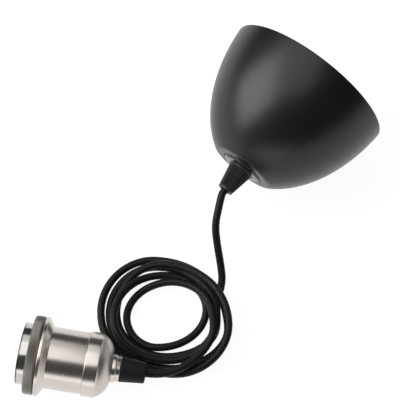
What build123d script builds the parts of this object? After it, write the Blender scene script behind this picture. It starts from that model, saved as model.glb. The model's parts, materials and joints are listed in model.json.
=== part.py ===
from build123d import *
import math
import os

os.makedirs("parts", exist_ok=True)

# Pendant cord set, laid down on a table: a bowl canopy on its side, a loose coil of
# textile cord and a metal lampholder. +Z is up from the table, +X is the way the
# canopy's mouth faces, and the origin is under the middle of the rigid pieces. All in mm.

# Canopy bowl
CANOPY_RIM_D = 110.0
CANOPY_HEIGHT = 69.0
CANOPY_SHOULDER_D = 41.0
CANOPY_SHOULDER_ROUND = 5.0
CANOPY_RUNOUT = 8.0
CANOPY_WALL = 2.0
CANOPY_TOP_WALL = 4.2
CANOPY_RIM_ROUND = 0.5
CANOPY_RISE = 13.7
CANOPY_AT = (121.14, 0.0)

# Apex disc, set flush in the canopy's top
DISC_D = 28.0
DISC_THICK = 2.0
DISC_GAP = 0.25
DISC_CHAMFER = 0.5

# Threaded nipples, washers and nuts share one thread size
THREAD_D = 10.0
NIPPLE_BORE = 6.0
THREAD_GAP = 0.05
HOLE_GAP = 0.2
NIPPLE_OUT = 8.0
NIPPLE_IN = 9.5
WASHER_D = 18.0
WASHER_THICK = 1.0
LOCK_NUT_FLATS = 14.0
LOCK_NUT_HEIGHT = 4.0

# Cord grip: a fluted cone nut that closes a split collet on the cord
GRIP_BASE_D = 16.0
GRIP_END_D = 10.2
GRIP_LENGTH = 17.6
GRIP_LIP_D = 17.0
GRIP_LIP = 1.0
GRIP_BAND = 0.9
GRIP_FLUTES = 30
GRIP_FLUTE_DEPTH = 0.4
GRIP_SEAT_GAP = 0.3
GRIP_SOCKET = 9.0
GRIP_EXIT_D = 7.0
COLLET_GAP = 0.3
COLLET_LENGTH = 6.4
COLLET_END_D = 6.4
COLLET_SLOT = 0.8
COLLET_SLOT_LENGTH = 4.4

# Cord
CORD_D = 4.8
CORD_GAP = 0.05
CORD_INSIDE = 1.2

# Hook clamp inside the canopy, held on the cord's end
CLAMP_START = 17.0
CLAMP_LENGTH = 21.0
CLAMP_WIDTH = 15.0
CLAMP_DEPTH = 10.0
CLAMP_CORD_END = 12.0
CLAMP_PLATE = 2.4
CLAMP_PLATE_LENGTH = 8.0
CLAMP_SCREW_D = 3.0
CLAMP_SCREW_HEAD_D = 5.4
CLAMP_SCREW_HEAD = 1.8
CLAMP_SCREW_GAP = 0.1
EYE_D = 17.0
EYE_HOLE_D = 9.0
EYE_THICK = 6.0

# Two-pole terminal block on the clamp's back
BLOCK_WIDTH = 17.0
BLOCK_DEPTH = 10.0
BLOCK_LENGTH = 15.0
BLOCK_PITCH = 8.0
BLOCK_START = 14.2
BLOCK_TOWER_D = 5.6
BLOCK_TOWER = 2.0
WIRE_HOLE_D = 3.0
TERMINAL_SCREW_D = 3.2
TERMINAL_SCREW = 6.0
TERMINAL_SCREW_SLOT = 0.7
LEAD_D = 1.8
LEAD_SPREAD = 1.2
LEAD_RISE = 7.0
LEAD_BEND = 2.6
LEAD_IN_BLOCK = 4.0

# Lampholder: front collar, threaded body with flange and sleeve, knurled shade ring
COLLAR_ENTRY = 1.0
COLLAR_WALL = 2.8
COLLAR_LENGTH = 5.2
COLLAR_ROUND = 0.9
THREAD_WALL = 1.4
RING_REACH = 5.1
RING_WIDTH = 5.7
RING_FLUTES = 72
RING_FLUTE_DEPTH = 0.5
RING_BAND = 0.8
RING_BAND_DROP = 0.6
RING_FIT = 0.05
RING_GAP = 0.5
FLANGE_REACH = 5.0
FLANGE_WIDTH = 5.0
FLANGE_RIM = 1.8
SLEEVE_DROP = 0.05
SLEEVE_LENGTH = 21.6
SPIGOT_STEP = 0.5
SPIGOT_LENGTH = 5.0
HOLDER_HEADING = 121.5
HOLDER_AT = (-117.41, 29.09)

# Lampholder inside: insulating core, screw shell for a 27 mm lamp cap, centre contact
CORE_GAP = 0.1
CORE_FRONT = 0.3
CORE_LENGTH = 38.0
SOCKET_DEPTH = 24.0
SHELL_D = 28.0
SHELL_WALL = 0.6
SHELL_GAP = 0.2
SHELL_INSET = 1.5
CONTACT_WIDTH = 6.0
CONTACT_LENGTH = 15.0
CONTACT_THICK = 0.6
CONTACT_ROOT = 7.5
CONTACT_SLOPE = 12.0
CONTACT_GAP = 0.3

# Lampholder back: domed cap, stepped neck and tapered grommet
CAP_STEP = 0.9
CAP_RING = 7.5
CAP_DOME = 7.8
CAP_WALL = 1.5
CAP_TOP_D = 17.2
NECK_STEP_1_D = 16.6
NECK_STEP_1 = 2.6
NECK_STEP_2_D = 15.2
NECK_STEP_2 = 2.5
HOLDER_NIPPLE_IN = 3.0
HOLDER_NIPPLE_OUT = 7.0
GROMMET_BASE_D = 15.0
GROMMET_END_D = 12.2
GROMMET_LENGTH = 15.0
GROMMET_ROUND = 1.0

# Cord route, in a frame of its own that is turned on the table about the coil's middle
COIL_MIDDLE = (-41.26, -13.7)
COIL_HEADING = -51.1
# Each turn of the loose coil touches four sides in order: right, front, left and back.
# A side has its reach from the middle, its shift along the side and its height in cord diameters.
COIL_TURNS = [
    ((34.6, -7.4, 0.510), (27.7, 2.3, 0.510), (28.5, 0.1, 1.062), (30.3, -1.9, 1.698)),
    ((37.7, -10.9, 3.000), (39.8, 8.6, 1.521), (38.2, 0.9, 1.146), (37.5, -4.8, 0.573)),
    ((41.5, -10.5, 1.958), (35.1, 5.0, 0.510), (33.6, 0.6, 0.510), (31.4, -4.1, 0.521)),
    ((35.5, -8.0, 1.688), (31.4, 3.9, 1.344), (29.3, -7.4, 3.167), (24.4, 1.2, 1.062)),
    ((26.7, -3.5, 0.510), (21.2, -1.2, 0.510), (22.0, -2.1, 0.510), (18.8, 4.2, 1.625)),
]
COIL_END = (30.2, -8.6, 2.188)
COIL_END_CLIMB = 0.22
# Free points of the cord between the grip and the coil, and between the coil and the grommet
DROP_LEAD = 5.0
DROP_POINTS = [(33.0, 58.6, 30.6), (32.5, 49.6, 25.0), (33.2, 40.0, 16.6), (35.0, 30.6, 8.4), (36.6, 21.0, 2.6)]
DROP_RUN_IN = 14.5
TAIL_LEAD = 9.0
TAIL_RUN_OUT = 9.2
TAIL_POINTS = [(25.8, -27.0, 13.8), (15.5, -37.0, 14.2)]
BEND_SHARE = 0.45


def turned(*outline):
    """Solid of revolution about Z from an outline of radius and height."""
    return revolve(Plane.XZ * make_face(list(outline)), Axis.Z)


def turned_points(*points):
    """Solid of revolution about Z from straight runs between points of radius and height."""
    return turned(Polyline(*points, close=True))


def tube(outer_d, inner_d, low, high):
    """Plain tube about Z."""
    return turned_points((inner_d / 2, low), (outer_d / 2, low), (outer_d / 2, high), (inner_d / 2, high))


def rod(diameter, low, high):
    """Plain rod about Z."""
    return Pos(0, 0, (low + high) / 2) * Cylinder(diameter / 2, high - low)


def block(width, depth, low, high):
    """Box centred on Z."""
    return Pos(0, 0, (low + high) / 2) * Box(width, depth, high - low)


def rims(part, diameter, height):
    """Circular edges of one diameter at one height."""
    found = part.edges().filter_by(GeomType.CIRCLE)
    return [e for e in found if abs(2 * e.radius - diameter) < 1e-3 and abs(e.arc_center.Z - height) < 1e-3]


def star(diameter, depth, count, height):
    """Face with count pointed flutes of one depth."""
    points = []
    for i in range(2 * count):
        radius = diameter / 2 - depth * (i % 2)
        angle = math.pi * i / count
        points.append((radius * math.cos(angle), radius * math.sin(angle)))
    return Pos(0, 0, height) * make_face(Polyline(*points, close=True))


def bowl_side(rim_r, top_r, rim_z, top_z):
    """Quarter of an ellipse from the bowl's top to its rim, centred a little past the rim."""
    far = rim_z - top_z + CANOPY_RUNOUT
    scale = (rim_r * far) ** 2 - (top_r * CANOPY_RUNOUT) ** 2
    across = math.sqrt(scale / (far**2 - CANOPY_RUNOUT**2))
    along = math.sqrt(scale / (rim_r**2 - top_r**2))
    start = -math.degrees(math.asin(far / along))
    end = -math.degrees(math.asin(CANOPY_RUNOUT / along))
    return EllipticalCenterArc((0, rim_z + CANOPY_RUNOUT), across, along, start, arc_size=end - start)


# Canopy cup: height 0 is its outer top, and the rim is at CANOPY_HEIGHT
thread_hole_d = THREAD_D + 2 * HOLE_GAP
recess_r = DISC_D / 2 + DISC_GAP
outer_side = bowl_side(CANOPY_RIM_D / 2, CANOPY_SHOULDER_D / 2, CANOPY_HEIGHT, 0)
inner_side = bowl_side(
    CANOPY_RIM_D / 2 - CANOPY_WALL, CANOPY_SHOULDER_D / 2 - CANOPY_WALL, CANOPY_HEIGHT, CANOPY_TOP_WALL
)
top_outline = Polyline(
    inner_side @ 0,
    (thread_hole_d / 2, CANOPY_TOP_WALL),
    (thread_hole_d / 2, DISC_THICK),
    (recess_r, DISC_THICK),
    (recess_r, 0),
    outer_side @ 0,
)
canopy_cup = turned(outer_side, Line(outer_side @ 1, inner_side @ 1), inner_side, top_outline)
canopy_cup = fillet(rims(canopy_cup, CANOPY_SHOULDER_D, 0), CANOPY_SHOULDER_ROUND)
rim_edges = rims(canopy_cup, CANOPY_RIM_D, CANOPY_HEIGHT)
rim_edges += rims(canopy_cup, CANOPY_RIM_D - 2 * CANOPY_WALL, CANOPY_HEIGHT)
canopy_cup = fillet(rim_edges, CANOPY_RIM_ROUND)

apex_disc = tube(DISC_D, thread_hole_d, 0, DISC_THICK)
apex_disc = chamfer(rims(apex_disc, DISC_D, 0), DISC_CHAMFER)

# Nipple through the canopy's top, with its washer and lock nut inside
washer_end = CANOPY_TOP_WALL + WASHER_THICK
lock_nut_end = washer_end + LOCK_NUT_HEIGHT
threaded_nipple = tube(THREAD_D, NIPPLE_BORE, -NIPPLE_OUT, CANOPY_TOP_WALL + NIPPLE_IN)
nipple_washer = tube(WASHER_D, thread_hole_d, CANOPY_TOP_WALL, washer_end)
nut_face = RegularPolygon(LOCK_NUT_FLATS / 2, 6, major_radius=False) - Circle(THREAD_D / 2 + THREAD_GAP)
lock_nut = Pos(0, 0, washer_end) * extrude(nut_face, LOCK_NUT_HEIGHT)

# Cord grip nut, pointing down from the canopy's top
grip_top = -GRIP_SEAT_GAP
grip_end = grip_top - GRIP_LENGTH
grip_low = grip_end + GRIP_BAND
grip_high = grip_top - GRIP_LIP
grip_cone = loft(
    [
        star(GRIP_END_D, GRIP_FLUTE_DEPTH, GRIP_FLUTES, grip_low),
        star(GRIP_BASE_D, GRIP_FLUTE_DEPTH, GRIP_FLUTES, grip_high),
    ],
    ruled=True,
)
grip_body = grip_cone + rod(GRIP_LIP_D, grip_high, grip_top) + rod(GRIP_END_D, grip_end, grip_low)
grip_socket_r = THREAD_D / 2 + THREAD_GAP
cone_start = grip_top - GRIP_SOCKET
cone_end = cone_start - COLLET_LENGTH
grip_hollow = turned_points(
    (0, grip_top),
    (grip_socket_r, grip_top),
    (grip_socket_r, cone_start),
    (GRIP_EXIT_D / 2, cone_end),
    (GRIP_EXIT_D / 2, grip_end),
    (0, grip_end),
)
cord_grip_nut = grip_body - grip_hollow

# Split collet between the nipple's end and the grip nut's cone
collet_top = min(cone_start, -NIPPLE_OUT) - COLLET_GAP
collet_end = collet_top - COLLET_LENGTH
collet_bore = CORD_D + 2 * CORD_GAP
grip_collet = turned_points(
    (collet_bore / 2, collet_top),
    (grip_socket_r - COLLET_GAP, collet_top),
    (COLLET_END_D / 2 - COLLET_GAP, collet_end),
    (collet_bore / 2, collet_end),
)
for angle in (0, 90):
    slot = block(THREAD_D, COLLET_SLOT, collet_end, collet_end + COLLET_SLOT_LENGTH)
    grip_collet -= Rot(0, 0, angle) * slot

# Cord held through the grip, the nipple and the clamp
cord_out = grip_end + CORD_INSIDE
cord_in = CLAMP_START + CLAMP_CORD_END
cord_in_canopy = rod(CORD_D, cord_out, cord_in)

# Hook clamp: a body on the cord's end with an eye for the ceiling hook
clamp_end = CLAMP_START + CLAMP_LENGTH
clamp_half = CLAMP_DEPTH / 2
eye_at = clamp_end + EYE_D / 2 - CLAMP_SCREW_GAP * 10
channel_d = CORD_D + 2 * CORD_GAP
clamp_body = block(CLAMP_WIDTH, CLAMP_DEPTH, CLAMP_START, clamp_end)
clamp_body += Pos(0, 0, eye_at) * Rot(90, 0, 0) * Cylinder(EYE_D / 2, EYE_THICK)
clamp_body -= Pos(0, 0, eye_at) * Rot(90, 0, 0) * Cylinder(EYE_HOLE_D / 2, CLAMP_DEPTH + EYE_THICK)
clamp_body -= rod(channel_d, CLAMP_START, cord_in)
window_depth = clamp_half + CORD_D / 2
window_y = (CORD_D / 2 - clamp_half) / 2
window_width = BLOCK_PITCH + 2 * LEAD_D
clamp_body -= Pos(0, window_y, 0) * block(window_width, window_depth, cord_in, cord_in + LEAD_RISE)
plate_at = CLAMP_START + CLAMP_PLATE_LENGTH / 2
plate_y = clamp_half + CLAMP_PLATE / 2
screw_x = (channel_d + CLAMP_WIDTH) / 4
screw_depth = clamp_half
clamp_plate = Pos(0, plate_y, 0) * block(CLAMP_WIDTH, CLAMP_PLATE, CLAMP_START, CLAMP_START + CLAMP_PLATE_LENGTH)
clamp_screws = {}
for side, name in ((-1, "clamp_screw_left"), (1, "clamp_screw_right")):
    place = Pos(side * screw_x, 0, plate_at) * Rot(-90, 0, 0)
    hole = place * rod(CLAMP_SCREW_D + 2 * CLAMP_SCREW_GAP, clamp_half - screw_depth, clamp_half + CLAMP_PLATE)
    clamp_body -= hole
    clamp_plate -= hole
    shank = rod(CLAMP_SCREW_D, clamp_half - screw_depth, clamp_half + CLAMP_PLATE)
    head_low = clamp_half + CLAMP_PLATE
    head = rod(CLAMP_SCREW_HEAD_D, head_low, head_low + CLAMP_SCREW_HEAD)
    clamp_screws[name] = place * (shank + head)

# Terminal block flat on the clamp's back, with its two clamping screws
block_y = -clamp_half - BLOCK_DEPTH / 2
block_end = BLOCK_START + BLOCK_LENGTH
screw_z = (BLOCK_START + block_end) / 2
terminal_block = Pos(0, block_y, 0) * block(BLOCK_WIDTH, BLOCK_DEPTH, BLOCK_START, block_end)
terminal_screws = {}
leads = {}
back_y = block_y - BLOCK_DEPTH / 2
for side, pole in ((-1, "live"), (1, "neutral")):
    pole_x = side * BLOCK_PITCH / 2
    tower = Pos(pole_x, 0, screw_z) * Rot(90, 0, 0) * rod(BLOCK_TOWER_D, -back_y, -back_y + BLOCK_TOWER)
    terminal_block += tower
for side, pole in ((-1, "live"), (1, "neutral")):
    pole_x = side * BLOCK_PITCH / 2
    terminal_block -= Pos(pole_x, block_y, 0) * rod(WIRE_HOLE_D, BLOCK_START, block_end)
    screw_top = -back_y + BLOCK_TOWER
    screw_low = screw_top - TERMINAL_SCREW
    place = Pos(pole_x, 0, screw_z) * Rot(90, 0, 0)
    terminal_block -= place * rod(TERMINAL_SCREW_D + 2 * CLAMP_SCREW_GAP, screw_low, screw_top)
    screw = rod(TERMINAL_SCREW_D, screw_low, screw_top)
    slot_low = screw_top - 2 * TERMINAL_SCREW_SLOT
    screw -= block(BLOCK_TOWER_D, TERMINAL_SCREW_SLOT, slot_low, screw_top)
    terminal_screws["terminal_screw_" + pole] = place * screw
    # Lead from the cord's end, over the block's edge and down into its hole
    lead_x = side * LEAD_SPREAD
    lead_top = cord_in + LEAD_RISE - LEAD_D
    route = [
        (lead_x, 0, cord_in),
        (lead_x, 0, lead_top),
        (pole_x, block_y, lead_top),
        (pole_x, block_y, block_end - LEAD_IN_BLOCK),
    ]
    lead_path = FilletPolyline(*route, radius=LEAD_BEND)
    lead_face = Plane(route[0], z_dir=(0, 0, 1)) * Circle(LEAD_D / 2)
    leads["canopy_lead_" + pole] = sweep(lead_face, lead_path)

# Lampholder, along its axis from the front face at 0 to the cord's exit
ring_start = COLLAR_LENGTH
ring_end = ring_start + RING_WIDTH
flange_start = ring_end + RING_GAP
rim_end = flange_start + FLANGE_RIM
flange_end = flange_start + FLANGE_WIDTH
sleeve_end = flange_end + SLEEVE_LENGTH
spigot_end = sleeve_end + SPIGOT_LENGTH
socket_d = SHELL_D + 2 * SHELL_GAP
collar_bore = socket_d + 2 * COLLAR_ENTRY
collar_d = collar_bore + 2 * COLLAR_WALL
flange_d = collar_d + 2 * FLANGE_REACH
front_collar = tube(collar_d, collar_bore, 0, COLLAR_LENGTH)
collar_edges = rims(front_collar, collar_d, 0) + rims(front_collar, collar_bore, 0)
front_collar = fillet(collar_edges, COLLAR_ROUND)
shell_bore = collar_d - 2 * THREAD_WALL
sleeve_d = collar_d - 2 * SLEEVE_DROP
spigot_d = sleeve_d - 2 * SPIGOT_STEP
holder_shell = turned_points(
    (shell_bore / 2, COLLAR_LENGTH),
    (collar_d / 2, COLLAR_LENGTH),
    (collar_d / 2, flange_start),
    (flange_d / 2, flange_start),
    (flange_d / 2, rim_end),
    (sleeve_d / 2, flange_end),
    (sleeve_d / 2, sleeve_end),
    (spigot_d / 2, sleeve_end),
    (spigot_d / 2, spigot_end),
    (shell_bore / 2, spigot_end),
)

# Knurled shade ring that turns on the body's front thread, between two plain bands
ring_bore = collar_d + 2 * RING_FIT
ring_d = collar_d + 2 * RING_REACH
band_d = ring_d - 2 * RING_BAND_DROP
shade_ring = tube(band_d, ring_bore, ring_start, ring_end)
knurl = Pos(0, 0, ring_start + RING_BAND) * extrude(
    star(ring_d, RING_FLUTE_DEPTH, RING_FLUTES, 0), RING_WIDTH - 2 * RING_BAND
)
shade_ring += knurl - rod(ring_bore, ring_start, ring_end)

# Insulating core with the lamp socket
core_start = COLLAR_LENGTH + CORE_FRONT
core_end = core_start + CORE_LENGTH
socket_end = core_start + SOCKET_DEPTH
insulator_core = rod(shell_bore - 2 * CORE_GAP, core_start, core_end) - rod(socket_d, core_start, socket_end)
# Sprung centre contact: a leaf that rises from its root towards the lamp
contact_pivot = socket_end - CONTACT_GAP - CONTACT_THICK / 2
contact_tip = contact_pivot - CONTACT_LENGTH * math.sin(math.radians(CONTACT_SLOPE)) - CONTACT_THICK / 2
leaf = Pos(0, CONTACT_LENGTH / 2, 0) * Box(CONTACT_WIDTH, CONTACT_LENGTH, CONTACT_THICK)
leaf += Rot(0, 90, 0) * Cylinder(CONTACT_THICK / 2, CONTACT_WIDTH)
centre_contact = Pos(0, -CONTACT_ROOT, contact_pivot) * Rot(-CONTACT_SLOPE, 0, 0) * leaf

# Screw shell for the lamp's cap, which ends short of the contact
shell_start = core_start + SHELL_INSET
shell_end = contact_tip - CONTACT_GAP
screw_shell = tube(SHELL_D, SHELL_D - 2 * SHELL_WALL, shell_start, shell_end)

# Domed rear cap over the sleeve's spigot
cap_start = sleeve_end
cap_ring_end = cap_start + CAP_RING
cap_end = cap_ring_end + CAP_DOME
cap_d = sleeve_d + 2 * CAP_STEP
cap_bore = spigot_d + 2 * THREAD_GAP
cap_inner_end = cap_end - CAP_WALL
dome_mid = ((cap_d + CAP_TOP_D) / 4 + CAP_DOME / 4, cap_ring_end + 0.62 * CAP_DOME)
inner_top = (CAP_TOP_D / 2, cap_inner_end)
inner_low = (cap_bore / 2, cap_ring_end)
inner_mid = ((inner_top[0] + inner_low[0]) / 2 + CAP_DOME / 4, cap_ring_end + 0.62 * (CAP_DOME - CAP_WALL))
rear_cap = turned(
    Polyline(inner_low, (cap_bore / 2, cap_start), (cap_d / 2, cap_start), (cap_d / 2, cap_ring_end)),
    ThreePointArc((cap_d / 2, cap_ring_end), dome_mid, (CAP_TOP_D / 2, cap_end)),
    Polyline(
        (CAP_TOP_D / 2, cap_end),
        (thread_hole_d / 2, cap_end),
        (thread_hole_d / 2, cap_inner_end),
        inner_top,
    ),
    ThreePointArc(inner_top, inner_mid, inner_low),
)

# Stepped neck, nipple and grommet at the cord's exit
step_1_end = cap_end + NECK_STEP_1
neck_end = step_1_end + NECK_STEP_2
neck_collar = tube(NECK_STEP_1_D, thread_hole_d, cap_end, step_1_end)
neck_collar += tube(NECK_STEP_2_D, thread_hole_d, step_1_end, neck_end)
holder_nipple_end = neck_end + HOLDER_NIPPLE_OUT
holder_nipple = tube(THREAD_D, NIPPLE_BORE, cap_inner_end - HOLDER_NIPPLE_IN, holder_nipple_end)
grommet_end = neck_end + GROMMET_LENGTH
cord_hole_d = CORD_D + 2 * CORD_GAP
grommet = turned_points(
    (THREAD_D / 2 + THREAD_GAP, neck_end),
    (GROMMET_BASE_D / 2, neck_end),
    (GROMMET_END_D / 2, grommet_end),
    (cord_hole_d / 2, grommet_end),
    (cord_hole_d / 2, holder_nipple_end),
    (THREAD_D / 2 + THREAD_GAP, holder_nipple_end),
)
grommet = fillet(rims(grommet, GROMMET_END_D, grommet_end), GROMMET_ROUND)
cord_holder_out = grommet_end - CORD_INSIDE
cord_in_holder = rod(CORD_D, core_end, cord_holder_out)

# The canopy lies on its side wall, with its mouth a little raised
rise = math.radians(CANOPY_RISE)
canopy_axis = Vector(math.cos(rise), 0, math.sin(rise))
apex_x = CANOPY_AT[0] - CANOPY_HEIGHT * canopy_axis.X
lying_cup = Plane((0, 0, 0), x_dir=(0, 1, 0), z_dir=canopy_axis).location * canopy_cup
apex = Vector(apex_x, CANOPY_AT[1], -lying_cup.bounding_box().min.Z)
canopy_place = Plane(apex, x_dir=(0, 1, 0), z_dir=canopy_axis).location

# The lampholder lies on its flange's rim and on the ring of its rear cap
rest_run = cap_ring_end - rim_end
tilt = math.atan((flange_d - cap_d) / 2 / rest_run)
heading = math.radians(HOLDER_HEADING)
back = Vector(-math.cos(heading) * math.cos(tilt), -math.sin(heading) * math.cos(tilt), -math.sin(tilt))
level = (math.sin(heading), -math.cos(heading), 0)
lying_shell = Plane((0, 0, 0), x_dir=level, z_dir=back).location * holder_shell
front = Vector(HOLDER_AT[0], HOLDER_AT[1], -lying_shell.bounding_box().min.Z)
holder_place = Plane(front, x_dir=level, z_dir=back).location

# Cord route on the table
turn = math.radians(COIL_HEADING)


def laid(x, y, z):
    """Point of the cord's own frame, on the table."""
    return Vector(
        COIL_MIDDLE[0] + x * math.cos(turn) - y * math.sin(turn),
        COIL_MIDDLE[1] + x * math.sin(turn) + y * math.cos(turn),
        z,
    )


def side_point(side, reach, shift, height):
    """Where a turn touches one of its four sides: 0 right, 1 front, 2 left, 3 back."""
    x, y = ((reach, shift), (shift, -reach), (-reach, shift), (shift, reach))[side]
    return laid(x, y, height * CORD_D)


def side_way(side, climb):
    """Direction of travel along a side, with its climb."""
    x, y = ((0, -1), (-1, 0), (0, 1), (1, 0))[side]
    return (laid(x, y, climb) - laid(0, 0, 0)).normalized()


def corner_radii(points):
    """Radius of the arc at each corner of a cord's route."""
    radii = []
    for before, at, after in zip(points, points[1:], points[2:]):
        half = math.radians((at - before).get_angle(after - at)) / 2
        radii.append(BEND_SHARE * min((at - before).length, (after - at).length) / math.tan(half))
    return radii


def cord_solid(path, start, way):
    """Round cord along a path."""
    solid = sweep(Plane(start, z_dir=way) * Circle(CORD_D / 2), path)
    ideal = math.pi * CORD_D**2 / 4 * path.length
    print(f"cord of {path.length:.1f} mm, volume over section times length {solid.volume / ideal:.4f}")
    return solid


# The coil: one biarc to each quarter turn. A point that lies between its neighbours' heights takes
# the gentler of its two slopes, and the others are level.
marks = [(side, *turn_sides[side]) for turn_sides in COIL_TURNS for side in range(4)]
marks.append((0, *COIL_END))
knots = [side_point(*mark) for mark in marks]
ways = []
for i, mark in enumerate(marks):
    climb = 0.0
    if i == len(marks) - 1:
        climb = COIL_END_CLIMB
    elif i > 0:
        slope_in = (knots[i].Z - knots[i - 1].Z) / (knots[i] - knots[i - 1]).length
        slope_out = (knots[i + 1].Z - knots[i].Z) / (knots[i + 1] - knots[i]).length
        if slope_in * slope_out > 0:
            climb = min(slope_in, slope_out, key=abs)
    ways.append(side_way(mark[0], climb))
coil_arcs = []
coil_radii = []
for here, there, way_out, way_in in zip(knots, knots[1:], ways, ways[1:]):
    span = there - here
    both = way_out + way_in
    spread = 2 * (1 - way_out.dot(way_in))
    lean = span.dot(both)
    reach = (math.sqrt(lean**2 + spread * span.dot(span)) - lean) / spread
    corner_1 = here + way_out * reach
    corner_2 = there - way_in * reach
    middle = (corner_1 + corner_2) / 2
    arc_1 = Edge.make_tangent_arc(here, way_out, middle)
    arc_2 = Edge.make_tangent_arc(middle, (corner_2 - corner_1).normalized(), there)
    coil_arcs += [arc_1, arc_2]
    coil_radii += [arc_1.radius, arc_2.radius]
coil_path = Wire(coil_arcs)
cord_coil = cord_solid(coil_path, knots[0], ways[0])

# The stretch from the grip to the coil, and the tail from the coil to the grommet
grip_exit = canopy_place * Pos(0, 0, cord_out)
drop_start = Vector(*grip_exit.position)
drop_corner = drop_start - canopy_axis * (DROP_LEAD + CORD_INSIDE)
drop_route = [drop_start, drop_corner] + [laid(*p) for p in DROP_POINTS]
drop_route += [knots[0] - ways[0] * DROP_RUN_IN, knots[0]]
drop_radii = corner_radii(drop_route)
drop_path = FilletPolyline(*drop_route, radius=drop_radii)
cord_drop = cord_solid(drop_path, drop_start, drop_route[1] - drop_route[0])
holder_exit = holder_place * Pos(0, 0, cord_holder_out)
tail_end = Vector(*holder_exit.position)
tail_route = [knots[-1], knots[-1] + ways[-1] * TAIL_RUN_OUT] + [laid(*p) for p in TAIL_POINTS]
tail_route += [tail_end + back * (TAIL_LEAD + CORD_INSIDE), tail_end]
tail_radii = corner_radii(tail_route)
tail_path = FilletPolyline(*tail_route, radius=tail_radii)
cord_tail = cord_solid(tail_path, knots[-1], tail_route[1] - tail_route[0])
print("radii of the drop", [round(r, 1) for r in drop_radii])
print("radii of the tail", [round(r, 1) for r in tail_radii])
print("radii of the coil", round(min(coil_radii), 1), "to", round(max(coil_radii), 1))

# Least gap of the cord to itself, on points along its whole route
samples = []
run = 0.0
for path in (drop_path, coil_path, tail_path):
    count = int(path.length / 1.5)
    for i in range(count):
        samples.append((run + path.length * i / count, path @ (i / count)))
    run += path.length
least = 1e9
for i, (at_1, point_1) in enumerate(samples):
    for at_2, point_2 in samples[i + 1 :]:
        if at_2 - at_1 > 5 * CORD_D:
            least = min(least, (point_2 - point_1).length)
print(f"cord length {run:.1f} mm, least gap to itself {least - CORD_D:.2f} mm")

canopy_nodes = {
    "canopy_cup": canopy_cup,
    "apex_disc": apex_disc,
    "threaded_nipple": threaded_nipple,
    "nipple_washer": nipple_washer,
    "lock_nut": lock_nut,
    "cord_grip_nut": cord_grip_nut,
    "grip_collet": grip_collet,
    "cord_in_canopy": cord_in_canopy,
    "hook_clamp_body": clamp_body,
    "hook_clamp_plate": clamp_plate,
    **clamp_screws,
    "terminal_block": terminal_block,
    **terminal_screws,
    **leads,
}
holder_nodes = {
    "front_collar": front_collar,
    "holder_shell": holder_shell,
    "shade_ring": shade_ring,
    "insulator_core": insulator_core,
    "screw_shell": screw_shell,
    "centre_contact": centre_contact,
    "rear_cap": rear_cap,
    "neck_collar": neck_collar,
    "holder_nipple": holder_nipple,
    "grommet": grommet,
    "cord_in_holder": cord_in_holder,
}
cord_nodes = {"cord_drop": cord_drop, "cord_coil": cord_coil, "cord_tail": cord_tail}
for name, solid in canopy_nodes.items():
    export_step(canopy_place * solid, f"parts/{name}.step")
for name, solid in holder_nodes.items():
    export_step(holder_place * solid, f"parts/{name}.step")
for name, solid in cord_nodes.items():
    export_step(solid, f"parts/{name}.step")
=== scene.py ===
"""Looks of a pendant cord set that lies on a table: a bowl canopy on its side, a loose coil of
textile cord and a brushed metal lampholder. Sizes are in millimetres until a mesh is made."""

import json
import math

import bmesh
import bpy
from mathutils import Matrix, Vector


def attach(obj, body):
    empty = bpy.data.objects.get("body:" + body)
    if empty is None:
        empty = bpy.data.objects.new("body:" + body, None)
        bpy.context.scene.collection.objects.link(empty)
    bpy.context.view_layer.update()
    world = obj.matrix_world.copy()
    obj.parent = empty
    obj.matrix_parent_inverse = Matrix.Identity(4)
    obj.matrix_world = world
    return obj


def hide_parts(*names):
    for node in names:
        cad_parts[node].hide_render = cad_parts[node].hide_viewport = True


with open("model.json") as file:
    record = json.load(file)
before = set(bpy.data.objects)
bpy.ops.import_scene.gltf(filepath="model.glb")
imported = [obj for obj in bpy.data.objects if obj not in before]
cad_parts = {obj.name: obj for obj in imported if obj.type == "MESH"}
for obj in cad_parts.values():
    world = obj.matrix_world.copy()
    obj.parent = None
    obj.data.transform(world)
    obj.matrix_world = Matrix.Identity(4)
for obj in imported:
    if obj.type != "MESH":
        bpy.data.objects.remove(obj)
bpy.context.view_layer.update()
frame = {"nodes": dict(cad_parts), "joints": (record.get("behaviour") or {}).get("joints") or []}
nodes = frame["nodes"]
MM = 0.001
BASE = "cord_set"

# Places of the two turned assemblies, from the axes of their joints
joints = {j["name"]: j for j in frame["joints"]}
GRIP_END = -17.9
RING_START = 5.2
RING_END = 10.9


def turned_place(origin, axis, across):
    """Matrix of a frame with z along axis and x along across."""
    z = Vector(axis).normalized()
    x = (Vector(across) - z * z.dot(Vector(across))).normalized()
    turn = Matrix((x, z.cross(x), z)).transposed().to_4x4()
    return Matrix.Translation(origin) @ turn


grip_joint = joints["grip_nut_turn"]
canopy_axis = -Vector(grip_joint["axis"]).normalized()
apex = Vector(grip_joint["pos_m"]) - canopy_axis * GRIP_END * MM
canopy_place = turned_place(apex, canopy_axis, (0, 1, 0))
ring_joint = joints["shade_ring_turn"]
holder_axis = -Vector(ring_joint["axis"]).normalized()
holder_front = Vector(ring_joint["pos_m"]) - holder_axis * (RING_START + RING_END) / 2 * MM
holder_place = turned_place(holder_front, holder_axis, Vector((0, 0, -1)).cross(holder_axis))

# Camera and studio, in a frame that is turned to the camera: x right, y away, z up
VIEW_TARGET = Vector((35.74, 19.0, 0.0)) * MM
VIEW_HEADING = math.radians(-51.1)
VIEW_HEIGHT = math.radians(62.5)
VIEW_DISTANCE = 0.621
VIEW_ANGLE = math.radians(24.0)
studio_turn = Matrix.Rotation(VIEW_HEADING, 3, "Z")


def studio(x, y, z):
    """Point of the studio, in metres from the camera's target."""
    return VIEW_TARGET + studio_turn @ Vector((x, y, z))


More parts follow.
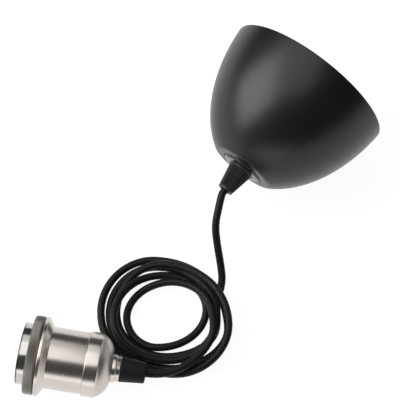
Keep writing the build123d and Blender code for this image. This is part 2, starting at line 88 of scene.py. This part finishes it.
def aimed(obj, at):
    """Turn an object so that its -Z looks at a point, with its X level to the camera."""
    back = (obj.location - at).normalized()
    right = studio_turn @ Vector((1, 0, 0))
    right = (right - back * right.dot(back)).normalized()
    obj.rotation_euler = Matrix((right, back.cross(right), back)).transposed().to_euler()


def linked(obj):
    bpy.context.scene.collection.objects.link(obj)
    return obj


camera = linked(bpy.data.objects.new("camera", bpy.data.cameras.new("camera")))
camera.data.angle = VIEW_ANGLE
camera.data.clip_start = 0.01
camera.location = studio(0, -VIEW_DISTANCE * math.cos(VIEW_HEIGHT), VIEW_DISTANCE * math.sin(VIEW_HEIGHT))
aimed(camera, VIEW_TARGET)
bpy.context.scene.camera = camera
bpy.context.scene.view_settings.view_transform = "Standard"


# Shader helpers
class Shader:
    """A material with a Principled surface and short ways to add nodes to it."""

    def __init__(self, name, **constants):
        self.material = bpy.data.materials.new(name)
        self.material.use_nodes = True
        self.tree = self.material.node_tree
        self.surface = self.tree.nodes["Principled BSDF"]
        for socket, value in constants.items():
            self.surface.inputs[socket.replace("_", " ")].default_value = value

    def node(self, kind, **inputs):
        made = self.tree.nodes.new("ShaderNode" + kind)
        for socket, value in inputs.items():
            self.put(made.inputs[socket.replace("_", " ")], value)
        return made

    def put(self, socket, value):
        if isinstance(value, bpy.types.NodeSocket):
            self.tree.links.new(value, socket)
        else:
            socket.default_value = value

    def set(self, **inputs):
        for socket, value in inputs.items():
            self.put(self.surface.inputs[socket.replace("_", " ")], value)

    def place(self, *scale):
        """Object coordinates, stretched by a scale for each axis."""
        source = self.node("TexCoord").outputs["Object"]
        mapping = self.node("Mapping", Vector=source)
        mapping.inputs["Scale"].default_value = scale
        return mapping.outputs["Vector"]

    def noise(self, scale, detail=3.0, stretch=(1, 1, 1)):
        made = self.node("TexNoise", Vector=self.place(*stretch), Scale=scale, Detail=detail)
        return made.outputs["Fac"]

    def ramp(self, factor, low, high, out_low, out_high):
        """Map a factor from one range to another."""
        made = self.node("MapRange", Value=factor)
        limits = {"From Min": low, "From Max": high, "To Min": out_low, "To Max": out_high}
        for socket, value in limits.items():
            made.inputs[socket].default_value = value
        return made.outputs["Result"]

    def blend(self, factor, first, second):
        """Colour between two colours."""
        made = self.node("ValToRGB", Fac=factor)
        made.color_ramp.elements[0].color = (*first, 1)
        made.color_ramp.elements[1].color = (*second, 1)
        return made.outputs["Color"]

    def bump(self, height, distance, strength=1.0):
        made = self.node("Bump", Height=height, Distance=distance, Strength=strength)
        self.set(Normal=made.outputs["Normal"])


def satin(name, dark, light, rough, grain, depth):
    """Moulded or coated surface: slight cloudiness in colour and gloss, and a fine grain."""
    shader = Shader(name)
    cloud = shader.noise(35.0)
    shader.set(Base_Color=shader.blend(cloud, dark, light))
    shader.set(Roughness=shader.ramp(cloud, 0.3, 0.7, rough - 0.02, rough + 0.03))
    shader.bump(shader.noise(grain, 2.0), depth)
    return shader


def turned_metal(name, dark, light, rough, lines, depth):
    """Metal brushed on a lathe: fine lines round the axis, streaks in gloss and colour."""
    shader = Shader(name, Metallic=1.0)
    streak = shader.noise(lines, 4.0, (0.02, 0.02, 1.0))
    cloud = shader.noise(60.0)
    shader.set(Base_Color=shader.blend(cloud, dark, light))
    shader.set(Roughness=shader.ramp(streak, 0.3, 0.7, rough - 0.02, rough + 0.03))
    shader.bump(streak, depth)
    return shader


canopy_black = satin("canopy_black", (0.0063, 0.0062, 0.0065), (0.0084, 0.0081, 0.0084), 0.33, 5200.0, 12e-6)
canopy_black.set(Specular_IOR_Level=0.46)
disc_black = satin("disc_black", (0.012, 0.012, 0.012), (0.018, 0.0175, 0.017), 0.14, 4000.0, 0.000004)
grip_black = satin("grip_black", (0.011, 0.011, 0.0115), (0.017, 0.0168, 0.0172), 0.5, 3000.0, 0.00002)
grommet_black = satin("grommet_black", (0.004, 0.0042, 0.0052), (0.007, 0.0072, 0.0086), 0.6, 2600.0, 0.00003)
grommet_black.set(Specular_IOR_Level=0.3)
collet_grey = satin("collet_grey", (0.17, 0.17, 0.17), (0.22, 0.22, 0.22), 0.5, 3000.0, 0.00001)
ivory = satin("ivory_plastic", (0.72, 0.69, 0.62), (0.8, 0.77, 0.7), 0.42, 2500.0, 0.00001)
porcelain = satin("insulator", (0.78, 0.77, 0.73), (0.84, 0.83, 0.79), 0.22, 900.0, 0.00001)
lead_brown = satin("lead_brown", (0.10, 0.045, 0.022), (0.14, 0.062, 0.03), 0.35, 1500.0, 0.00001)
lead_blue = satin("lead_blue", (0.02, 0.07, 0.25), (0.028, 0.09, 0.31), 0.35, 1500.0, 0.00001)
NICKEL = (0.592, 0.547, 0.507), (0.670, 0.620, 0.582)
NICKEL_ROUGH = 0.25
nickel = turned_metal("brushed_nickel", *NICKEL, NICKEL_ROUGH, 6500.0, 0.0000004)
polished = turned_metal("polished_nickel", (0.55, 0.53, 0.505), (0.58, 0.56, 0.535), 0.15, 3000.0, 0.000001)
dome_nickel = turned_metal("satin_nickel", *NICKEL, NICKEL_ROUGH, 6500.0, 0.0000004)
zinc = turned_metal("zinc_steel", (0.52, 0.52, 0.53), (0.62, 0.62, 0.63), 0.32, 4000.0, 0.00001)
brass = turned_metal("brass", (0.66, 0.47, 0.20), (0.74, 0.55, 0.26), 0.25, 4000.0, 0.00001)

# Painted shade and reflection: the lip's front edge is coloured dark between these heights in metres
LIP_PAINTED_SHADE = (0.0004, 0.0012)
lip_height = polished.node("SeparateXYZ", Vector=polished.place(1, 1, 1)).outputs["Z"]
lip_painted_shade = polished.ramp(lip_height, *LIP_PAINTED_SHADE, 0.0, 1.0)
# The dark colour below is painted shade, not the plating's own colour
polished.set(Base_Color=polished.blend(lip_painted_shade, (0.05, 0.048, 0.045), (0.57, 0.55, 0.525)))

# The dome of the rear cap is left rougher than its ring, which ends between these heights
DOME_START = (0.0455, 0.0463)
DOME_ROUGH = 0.4
dome_height = dome_nickel.node("SeparateXYZ", Vector=dome_nickel.place(1, 1, 1)).outputs["Z"]
dome_nickel.set(Roughness=dome_nickel.ramp(dome_height, *DOME_START, NICKEL_ROUGH, DOME_ROUGH))


def knurled(name, valley_shade, ridge, metallic, rough, depth):
    """Crossed grooves: painted shade darkens the valleys, and the worn ridges keep the own colour, from the
    relief of the mesh.
    """
    shader = Shader(name, Metallic=metallic)
    relief = shader.node("Attribute")
    relief.attribute_name = "relief"
    height = shader.ramp(relief.outputs["Fac"], 0.0, depth, 0.0, 1.0)
    shader.set(Base_Color=shader.blend(height, valley_shade, ridge))
    shader.set(Roughness=shader.ramp(height, 0.0, 1.0, rough + 0.15, rough))
    shader.bump(shader.noise(4000.0, 2.0), 0.00001)
    return shader


# The valley colours given to both knurls below are painted shade in their grooves
RING_KNURL = 0.55
GRIP_KNURL = 0.45
ring_nickel = knurled("knurled_nickel", (0.03, 0.028, 0.026), (0.66, 0.62, 0.58), 1.0, 0.34, RING_KNURL)
grip_ribbed = knurled("knurled_black", (0.0015, 0.0015, 0.0016), (0.03, 0.03, 0.031), 0.0, 0.38, GRIP_KNURL)

# Braided sleeve: its weave is an attribute of the mesh, 0 in the gaps and 1 on the yarns
braid = Shader("cord_braid", Sheen_Weight=0.04, Sheen_Roughness=0.35, Specular_IOR_Level=0.24)
braid.surface.inputs["Sheen Tint"].default_value = (0.75, 0.68, 0.6, 1)
weave = braid.node("Attribute")
weave.attribute_name = "weave"
fibre = braid.noise(3500.0)
braid.set(Base_Color=braid.blend(weave.outputs["Fac"], (0.0008, 0.0007, 0.0007), (0.0085, 0.0076, 0.0066)))
braid.set(Roughness=braid.ramp(weave.outputs["Fac"], 0.0, 1.0, 0.9, 0.36))
braid.bump(fibre, 0.00006)


# Mesh helpers
def soft(*corners, steps=5):
    """Outline through corners of (radius, height, round), with an arc at each corner that has a round."""
    points = []
    count = len(corners)
    for i, corner in enumerate(corners):
        at = Vector(corner[:2])
        round_r = corner[2] if len(corner) > 2 else 0.0
        if not round_r:
            points.append(tuple(at))
            continue
        to_last = (Vector(corners[i - 1][:2]) - at).normalized()
        to_next = (Vector(corners[(i + 1) % count][:2]) - at).normalized()
        half = to_last.angle(to_next) / 2
        middle = at + (to_last + to_next).normalized() * round_r / math.sin(half)
        first = at + to_last * round_r / math.tan(half) - middle
        last = at + to_next * round_r / math.tan(half) - middle
        sweep = first.angle(last)
        for j in range(steps + 1):
            share = j / steps
            arm = first * math.sin((1 - share) * sweep) + last * math.sin(share * sweep)
            points.append(tuple(middle + arm / math.sin(sweep)))
    return points


def rows_of(outline):
    """Plain rows of a turned piece: radius, height and no relief."""
    return [(radius, height, None) for radius, height in outline]


def knurl(first, last, count, depth):
    """Rows of crossed grooves between two points of the outline: each row raises every other point."""
    rows = [(*first, None)]
    for j in range(1, count):
        share = j / count
        radius = first[0] + (last[0] - first[0]) * share
        height = first[1] + (last[1] - first[1]) * share
        rows.append((radius, height, lambda k, turn, odd=j % 2: depth * ((k + odd) % 2)))
    rows.append((*last, None))
    return rows


def thread(radius, low, high, pitch, depth, steps=8):
    """Rows of a screw thread on a rod or in a bore."""

    def groove(height):
        def relief(k, turn):
            share = (height / pitch - turn) % 1.0
            return -depth * abs(2 * share - 1)

        return relief

    count = max(2, round((high - low) / pitch * steps))
    heights = [low + (high - low) * j / count for j in range(count + 1)]
    return [(radius, height, groove(height)) for height in heights]


def turned_piece(name, place, rows, sides, shader, body, slot, *replaced, sharp=32.0, plain=1.0):
    """Closed ring of rows about the z axis of a place, as one mesh that stands for CAD nodes."""
    mesh = bmesh.new()
    mark = mesh.verts.layers.float.new("relief")
    rings = []
    for radius, height, relief in rows:
        ring = []
        for k in range(sides):
            turn = k / sides
            raised = relief(k, turn) if relief else 0.0
            reach = (radius + raised) * MM
            angle = 2 * math.pi * turn
            vert = mesh.verts.new((reach * math.cos(angle), reach * math.sin(angle), height * MM))
            vert[mark] = raised if relief else plain
            ring.append(vert)
        rings.append(ring)
    for j, ring in enumerate(rings):
        after = rings[(j + 1) % len(rings)]
        uneven = rows[j][2] or rows[(j + 1) % len(rows)][2]
        for k in range(sides):
            corners = (ring[k], ring[(k + 1) % sides], after[(k + 1) % sides], after[k])
            if not uneven:
                mesh.faces.new(corners)
                continue
            reach = [c.co.xy.length for c in corners]
            if reach[0] + reach[2] <= reach[1] + reach[3]:
                mesh.faces.new((corners[0], corners[1], corners[2]))
                mesh.faces.new((corners[0], corners[2], corners[3]))
            else:
                mesh.faces.new((corners[0], corners[1], corners[3]))
                mesh.faces.new((corners[1], corners[2], corners[3]))
    bmesh.ops.recalc_face_normals(mesh, faces=mesh.faces)
    return piece(name, mesh, place, shader, body, slot, *replaced, sharp=sharp)


def piece(name, mesh, place, shader, body, slot, *replaced, sharp=32.0):
    """Object from a bmesh, with its place, finish and body."""
    data = bpy.data.meshes.new(name)
    mesh.to_mesh(data)
    mesh.free()
    data.shade_smooth()
    data.set_sharp_from_angle(angle=math.radians(sharp))
    data.materials.append(shader.material)
    made = linked(bpy.data.objects.new(name, data))
    made.matrix_world = place
    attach(made, body)
    if replaced:
        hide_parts(*replaced)
    return made


# Cord: the route's own points as the control points of one smooth spline
CORD_D = 4.8
CORD_OUT = -16.7
CORD_HOLDER_OUT = 72.2
COIL_MIDDLE = (-41.26, -13.7)
COIL_HEADING = math.radians(-51.1)
# Four sides of each turn: reach from the middle, shift along the side, height in diameters
COIL_TURNS = [
    ((33.0, -7.4, 0.510), (27.7, 2.3, 0.510), (28.5, 0.1, 1.062), (30.3, -1.9, 1.800)),
    ((40.2, -11.2, 3.100), (39.8, 8.6, 1.521), (38.2, 0.9, 1.146), (35.7, -6.8, 0.540)),
    ((39.9, -11.5, 1.800), (35.1, 5.0, 0.510), (33.2, 0.6, 0.510), (30.6, -5.1, 0.740)),
    ((33.2, -5.0, 2.250), (31.4, 3.9, 1.344), (29.3, -7.4, 3.167), (24.4, 1.2, 1.062)),
    ((26.7, 2.6, 0.510), (21.9, -2.6, 0.510), (22.2, -2.1, 0.510), (18.8, 4.2, 1.625)),
]
COIL_END = (31.0, -8.6, 3.150)
COIL_END_CLIMB = 0.1
COIL_STEPS = 4
DROP_LEADS = (0.0, 2.1, 4.2)
DROP_POINTS = [
    (34.6, 59.4, 31.2),
    (32.2, 49.6, 25.0),
    (33.7, 40.0, 16.6),
    (35.9, 30.6, 8.4),
    (37.2, 21.0, 2.6),
]
DROP_RUN_IN = 14.5
TAIL_LEAD = 10.2
TAIL_RUN_OUT = 9.2
TAIL_POINTS = [(25.8, -27.0, 13.8), (15.5, -37.0, 14.2)]
coil_turn = Matrix.Rotation(COIL_HEADING, 3, "Z")
SIDE_OUT = [Vector((1, 0, 0)), Vector((0, -1, 0)), Vector((-1, 0, 0)), Vector((0, 1, 0))]
SIDE_WAY = [Vector((0, -1, 0)), Vector((-1, 0, 0)), Vector((0, 1, 0)), Vector((1, 0, 0))]


def laid(point):
    """Point of the cord's own frame, on the table."""
    return Vector((*COIL_MIDDLE, 0.0)) + coil_turn @ Vector(point)


def side_point(side, reach, shift, height):
    """Where a turn touches one of its four sides: 0 right, 1 front, 2 left, 3 back."""
    along = Vector((0, 1, 0)) if side % 2 == 0 else Vector((1, 0, 0))
    return SIDE_OUT[side] * reach + along * shift + Vector((0, 0, height * CORD_D))


def gentler(first, second):
    """The smaller of two slopes of one sign, or level."""
    return min(first, second, key=abs) if first * second > 0 else 0.0


marks = [(side, *sides[side]) for sides in COIL_TURNS for side in range(4)]
marks.append((0, *COIL_END))
knots = [side_point(*mark) for mark in marks]
rises = [there.z - here.z for here, there in zip(knots, knots[1:])]
climbs = [0.0] + [gentler(a, b) for a, b in zip(rises, rises[1:])] + [rises[-1]]
swell = 1 / (0.75 + 0.25 * math.cos(math.pi / 2 / COIL_STEPS))

# Each quarter turn is a quarter of an ellipse from one side to the next
coil_points = []
for i, (here, there) in enumerate(zip(knots, knots[1:])):
    way = SIDE_WAY[marks[i][0]]
    reach = (there - here).dot(way)
    middle = there - way * reach
    for j in range(COIL_STEPS):
        share = j / COIL_STEPS
        angle = share * math.pi / 2
        point = middle + (here - middle) * swell * math.cos(angle) + way * reach * swell * math.sin(angle)
        lift = share * share * (3 - 2 * share)
        point.z = here.z + rises[i] * lift
        point.z += climbs[i] * share * (1 - share) ** 2 - climbs[i + 1] * share**2 * (1 - share)
        coil_points.append(laid(point))
coil_points.append(laid(knots[-1]))

drop_start = canopy_place @ Vector((0, 0, CORD_OUT * MM)) / MM
tail_end = holder_place @ Vector((0, 0, CORD_HOLDER_OUT * MM)) / MM
drop_points = [drop_start - canopy_axis * lead for lead in DROP_LEADS] + [laid(p) for p in DROP_POINTS]
drop_points.append(laid(knots[0] - SIDE_WAY[0] * DROP_RUN_IN))
tail_way = (SIDE_WAY[0] + Vector((0, 0, COIL_END_CLIMB))).normalized()
tail_points = [laid(knots[-1] + tail_way * TAIL_RUN_OUT)] + [laid(p) for p in TAIL_POINTS]
tail_points += [tail_end + holder_axis * TAIL_LEAD, tail_end]
route_points = drop_points + coil_points + tail_points

route = bpy.data.curves.new("cord_route", "CURVE")
route.dimensions = "3D"
route.resolution_u = 14
spline = route.splines.new("NURBS")
spline.points.add(len(route_points) - 1)
for control, point in zip(spline.points, route_points):
    control.co = (*(point * MM), 1)
spline.order_u = 3
spline.use_endpoint_u = True
route_object = linked(bpy.data.objects.new("cord_route", route))
bpy.context.view_layer.update()
line = bpy.data.meshes.new_from_object(route_object)
cord_line = [v.co.copy() for v in line.vertices]
bpy.data.objects.remove(route_object)

# The braided sleeve is a tube along that line, with yarns that cross over and under
BRAID_SIDES = 32
BRAID_YARNS = 8
BRAID_PITCH = 20.0
BRAID_RELIEF = 0.16


def woven(turn, run):
    """Height of the braid, 0 to 1, at a share of a turn round the cord and a run along it."""
    left = BRAID_YARNS * (turn + run / BRAID_PITCH)
    right = BRAID_YARNS * (turn - run / BRAID_PITCH)
    over = (math.floor(left) + math.floor(right)) % 2
    return math.sin(math.pi * ((left if over else right) % 1.0)) ** 0.7


def braided_tube(name, points, shader):
    """Tube along points, with its weave in its shape and in an attribute."""
    mesh = bmesh.new()
    mark = mesh.verts.layers.float.new("weave")
    rings = []
    run = 0.0
    up = Vector((0, 0, 1))
    for i, point in enumerate(points):
        way = (points[min(i + 1, len(points) - 1)] - points[max(i - 1, 0)]).normalized()
        run += (point - points[i - 1]).length / MM if i else 0.0
        up = (up - way * up.dot(way)).normalized()
        side = way.cross(up)
        ring = []
        for k in range(BRAID_SIDES):
            turn = k / BRAID_SIDES
            height = woven(turn, run)
            reach = (CORD_D / 2 - BRAID_RELIEF * (1 - height)) * MM
            angle = 2 * math.pi * turn
            vert = mesh.verts.new(point + (side * math.cos(angle) + up * math.sin(angle)) * reach)
            vert[mark] = height
            ring.append(vert)
        rings.append(ring)
    for ring, after in zip(rings, rings[1:]):
        for k in range(BRAID_SIDES):
            mesh.faces.new((ring[k], ring[(k + 1) % BRAID_SIDES], after[(k + 1) % BRAID_SIDES], after[k]))
    mesh.faces.new(rings[0])
    mesh.faces.new(rings[-1])
    bmesh.ops.recalc_face_normals(mesh, faces=mesh.faces)
    stands_for = ("cord_drop", "cord_coil", "cord_tail")
    made = piece(name, mesh, Matrix.Identity(4), shader, BASE, "cord_braid", *stands_for)
    length = sum((b - a).length for a, b in zip(points, points[1:]))
    return made, length


cord, cord_length = braided_tube("textile_cord", cord_line, braid)

# Lampholder, turned about its axis from the front lip at 0
turned_piece(
    "front_lip",
    holder_place,
    rows_of(soft((15.2, 0, 0.8), (18.0, 0, 0.7), (18.0, 5.2), (15.2, 5.2))),
    128,
    polished,
    BASE,
    "polished_nickel",
    "front_collar",
)
RING_TEETH = 80
turned_piece(
    "knurled_shade_ring",
    holder_place,
    rows_of(soft((18.05, 5.2), (22.3, 5.2, 0.2), (22.6, 5.5)))
    + knurl((22.45, 5.6), (22.45, 10.5), 7, RING_KNURL)
    + rows_of(soft((22.6, 10.6), (22.3, 10.9, 0.2), (18.05, 10.9))),
    2 * RING_TEETH,
    ring_nickel,
    "shade_ring",
    "brushed_nickel",
    "shade_ring",
    sharp=14.0,
    # Flat rows get relief 0.2, so the ring's flat faces take part of the painted valley shade
    plain=0.2,
)
turned_piece(
    "flanged_sleeve",
    holder_place,
    rows_of(
        soft(
            (16.6, 5.2),
            (18.0, 5.2),
            (18.0, 11.4),
            (23.0, 11.4, 0.4),
            (23.0, 13.2, 0.5),
            (17.95, 16.4, 0.6),
            (17.95, 38.0, 0.2),
            (17.45, 38.0),
            (17.45, 43.0),
            (16.6, 43.0),
        )
    ),
    160,
    nickel,
    BASE,
    "brushed_nickel",
    "holder_shell",
)


def arc_through(first, middle, last, steps=14):
    """Points on the arc from first to last that passes through middle, without its two ends."""
    a, b, c = Vector(first), Vector(middle), Vector(last)
    ab, ac = b - a, c - a
    twice = 2 * (ab.x * ac.y - ab.y * ac.x)
    hub_x = (ac.y * ab.length_squared - ab.y * ac.length_squared) / twice
    hub_y = (ab.x * ac.length_squared - ac.x * ab.length_squared) / twice
    hub = a + Vector((hub_x, hub_y))
    start = math.atan2(*(a - hub).yx)
    end = math.atan2(*(c - hub).yx)
    arm = (a - hub).length
    angles = [start + (end - start) * j / steps for j in range(1, steps)]
    return [(hub.x + arm * math.cos(t), hub.y + arm * math.sin(t)) for t in angles]


turned_piece(
    "domed_rear_cap",
    holder_place,
    rows_of(
        soft((17.5, 45.5), (17.5, 38.0), (18.85, 38.0, 0.3), (18.85, 45.5, 0.35), (18.2, 46.2))
        + arc_through((18.2, 46.2), (15.4, 50.1), (8.6, 53.3))
        + soft((8.6, 53.3), (5.2, 53.3), (5.2, 51.8), (8.6, 51.8))
        + arc_through((8.6, 51.8), (14.8, 49.2), (17.5, 45.5))
    ),
    160,
    dome_nickel,
    BASE,
    "brushed_nickel",
    "rear_cap",
)
turned_piece(
    "stepped_neck",
    holder_place,
    rows_of(
        soft(
            (5.2, 53.3),
            (8.3, 53.3, 0.3),
            (8.3, 55.9, 0.5),
            (7.6, 55.9, 0.2),
            (7.6, 58.4, 0.5),
            (5.2, 58.4),
        )
    ),
    96,
    nickel,
    BASE,
    "brushed_nickel",
    "neck_collar",
)
turned_piece(
    "tapered_grommet",
    holder_place,
    rows_of(
        soft((5.05, 58.4), (7.5, 58.4, 0.6), (6.1, 73.4, 1.0), (2.5, 73.4, 0.4), (2.5, 65.4), (5.05, 65.4))
    ),
    96,
    grommet_black,
    BASE,
    "grip_black",
    "grommet",
)

# Lamp socket: a rolled thread in the screw shell
SCREW_PITCH = 3.6
turned_piece(
    "rolled_screw_shell",
    holder_place,
    thread(14.05, 7.0, 25.2, SCREW_PITCH, 0.7) + list(reversed(thread(13.75, 7.0, 25.2, SCREW_PITCH, 0.7))),
    72,
    brass,
    BASE,
    "brass",
    "screw_shell",
)

# Cord grip on the canopy: a cone with a fine crossed knurl, and the nipple's thread inside the canopy
GRIP_TEETH = 30
turned_piece(
    "knurled_cord_grip",
    canopy_place,
    rows_of(soft((5.05, -9.3), (5.05, -0.3), (8.5, -0.3, 0.25), (8.5, -1.3, 0.35), (7.65, -1.45)))
    + knurl((7.55, -1.6), (4.7, -16.8), 24, GRIP_KNURL)
    + rows_of(soft((5.1, -16.95, 0.15), (5.1, -17.9, 0.3), (3.5, -17.9, 0.3), (3.5, -15.7))),
    2 * GRIP_TEETH,
    grip_ribbed,
    "grip_nut",
    "grip_black",
    "cord_grip_nut",
    sharp=14.0,
)
turned_piece(
    "canopy_nipple",
    canopy_place,
    rows_of([(3.0, 13.7), (3.0, -8.0)]) + thread(5.0, -8.0, 13.7, 1.0, 0.45, 5),
    40,
    zinc,
    BASE,
    "zinc_steel",
    "threaded_nipple",
)

turned_piece(
    "raised_apex_disc",
    canopy_place,
    rows_of(
        soft(
            (5.2, 2.0),
            (13.7, 2.0),
            (13.7, -0.1, 0.3),
            (12.6, -0.95, 0.6),
            (8.8, -1.35, 0.15),
            (8.8, 0),
            (5.2, 0),
        )
    ),
    128,
    disc_black,
    BASE,
    "disc_black",
    "apex_disc",
)

# Materials of the carried-over nodes
kept = {
    "canopy_cup": canopy_black,
    "grip_collet": collet_grey,
    "nipple_washer": zinc,
    "lock_nut": zinc,
    "cord_in_canopy": braid,
    "hook_clamp_body": ivory,
    "hook_clamp_plate": ivory,
    "clamp_screw_left": zinc,
    "clamp_screw_right": zinc,
    "terminal_block": ivory,
    "terminal_screw_live": brass,
    "terminal_screw_neutral": brass,
    "canopy_lead_live": lead_brown,
    "canopy_lead_neutral": lead_blue,
    "insulator_core": porcelain,
    "centre_contact": brass,
    "holder_nipple": zinc,
    "cord_in_holder": braid,
}
for name, shader in kept.items():
    data = nodes[name].data
    data.materials.clear()
    data.materials.append(shader.material)

# Floor: paper that keeps a faint shadow, lifted to white for the camera, in glass and in metal
FLOOR_SIZE = 6.0
FLOOR_LIFT = 0.95
floor_mesh = bpy.data.meshes.new("floor")
half = FLOOR_SIZE / 2
floor_corners = [(-half, -half, 0), (half, -half, 0), (half, half, 0), (-half, half, 0)]
floor_mesh.from_pydata(floor_corners, [], [(0, 1, 2, 3)])
floor = linked(bpy.data.objects.new("floor", floor_mesh))
paper = Shader("floor_paper", Roughness=0.9, Base_Color=(0.1, 0.1, 0.1, 1), Specular_IOR_Level=0.0)


def lifted(tree, base, seen, mirrored):
    """Strength of a background: its base, plus what the camera and glass see and what metal mirrors."""
    path = tree.nodes.new("ShaderNodeLightPath").outputs
    total = base
    for ray, share in (("Is Camera Ray", seen), ("Is Transmission Ray", seen), ("Is Glossy Ray", mirrored)):
        added = tree.nodes.new("ShaderNodeMath")
        added.operation = "MULTIPLY_ADD"
        tree.links.new(path[ray], added.inputs[0])
        added.inputs[1].default_value = share
        if total is base:
            added.inputs[2].default_value = base
        else:
            tree.links.new(total, added.inputs[2])
        total = added.outputs[0]
    return total


paper.set(Emission_Color=(1, 1, 1, 1), Emission_Strength=lifted(paper.tree, 0.0, FLOOR_LIFT, FLOOR_LIFT))
floor_mesh.materials.append(paper.material)


# Lights, by their middle, the point they face, their size and their brightness
def softbox(name, at, face, size, brightness, colour=(1, 1, 1)):
    data = bpy.data.lights.new(name, "AREA")
    data.shape = "RECTANGLE"
    data.size, data.size_y = size
    data.energy = math.pi * brightness * size[0] * size[1]
    data.color = colour
    made = linked(bpy.data.objects.new(name, data))
    made.location = studio(*at)
    made.visible_camera = False
    aimed(made, studio(*face))
    return made


softbox("overhead", (-0.1875, -0.07, 0.95), (-0.1875, -0.07, 0), (0.775, 0.84), 1.45)
softbox("overhead_far", (-0.15, 0.75, 0.95), (-0.15, 0.75, 0), (0.85, 0.8), 0.9)
softbox("key", (-0.75, -0.03, 0.57), (0.05, 0.03, 0.05), (0.8, 0.8), 4.5, (1.0, 0.965, 0.935))
softbox("front_strip", (-0.19, -0.62, 0.065), (-0.19, 0, 0.065), (0.55, 0.13), 1.3)
softbox("side_strip", (0.75, 0.25, 0.27), (-0.05, -0.11, 0.03), (0.5, 0.36), 0.40)
ROOM_LIGHT = 0.05
ROOM_IN_METAL = 0.01
world = bpy.data.worlds.new("room")
bpy.context.scene.world = world
world.use_nodes = True
room = world.node_tree.nodes["Background"]
room.inputs["Color"].default_value = (1, 1, 1, 1)
room_strength = lifted(world.node_tree, ROOM_LIGHT, FLOOR_LIFT - ROOM_LIGHT, ROOM_IN_METAL)
world.node_tree.links.new(room_strength, room.inputs["Strength"])
